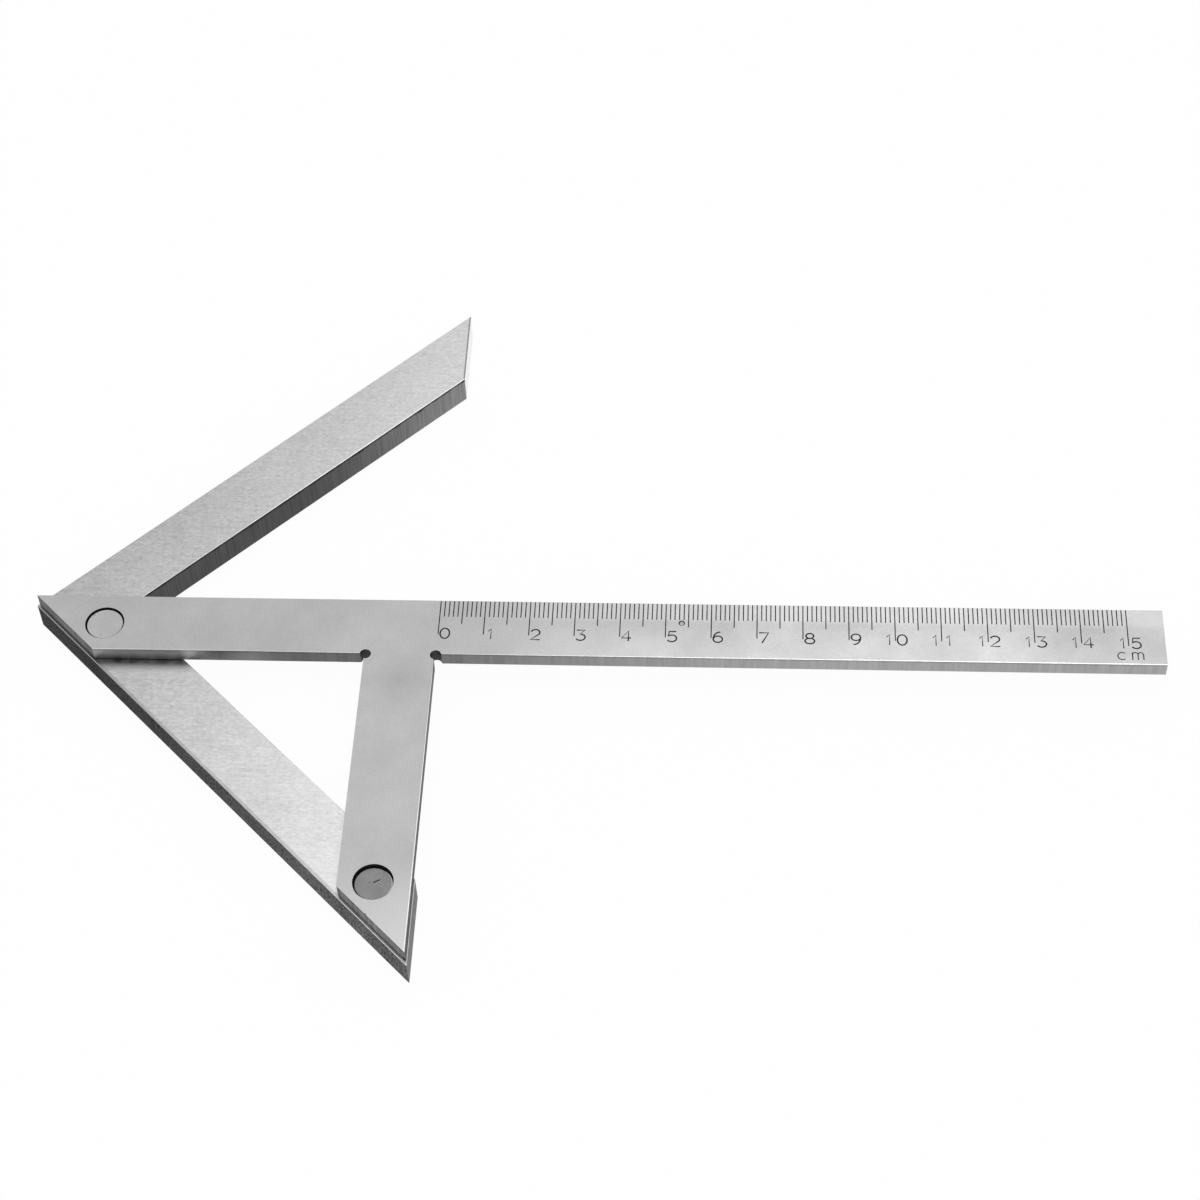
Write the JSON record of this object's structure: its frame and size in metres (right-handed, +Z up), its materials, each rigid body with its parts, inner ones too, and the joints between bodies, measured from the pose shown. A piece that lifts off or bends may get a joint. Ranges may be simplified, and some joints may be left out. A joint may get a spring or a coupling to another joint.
{
  "type": "centre square",
  "caption": "Steel centre square: a V frame that seats on round stock, with a riveted plate whose graduated ruler edge runs along the V's centre line and a strut that braces it.",
  "frame": {"origin": "on the underside of the V frame, on its centre line, midway between the outer and the inner corner", "axes": "+X along the centre line and the ruler's graduated edge, towards the end of the scale; +Z up out of the graduated face; the strut reaches to -Y"},
  "size_m": [0.2501, 0.1838, 0.0107],
  "materials": {
    "frame_steel": "surface-ground steel, fine straight grinding lines along the ruler's direction, unpolished sides",
    "plate_steel": "finely ground satin steel with engraved lines and figures",
    "rivet_steel": "plain turned steel, a little darker than the plate"
  },
  "bodies": {
    "root": {"v_frame": "frame_steel", "ruler_plate": "plate_steel", "rivet_apex": "rivet_steel", "rivet_strut": "rivet_steel"}
  },
  "joints": []
}
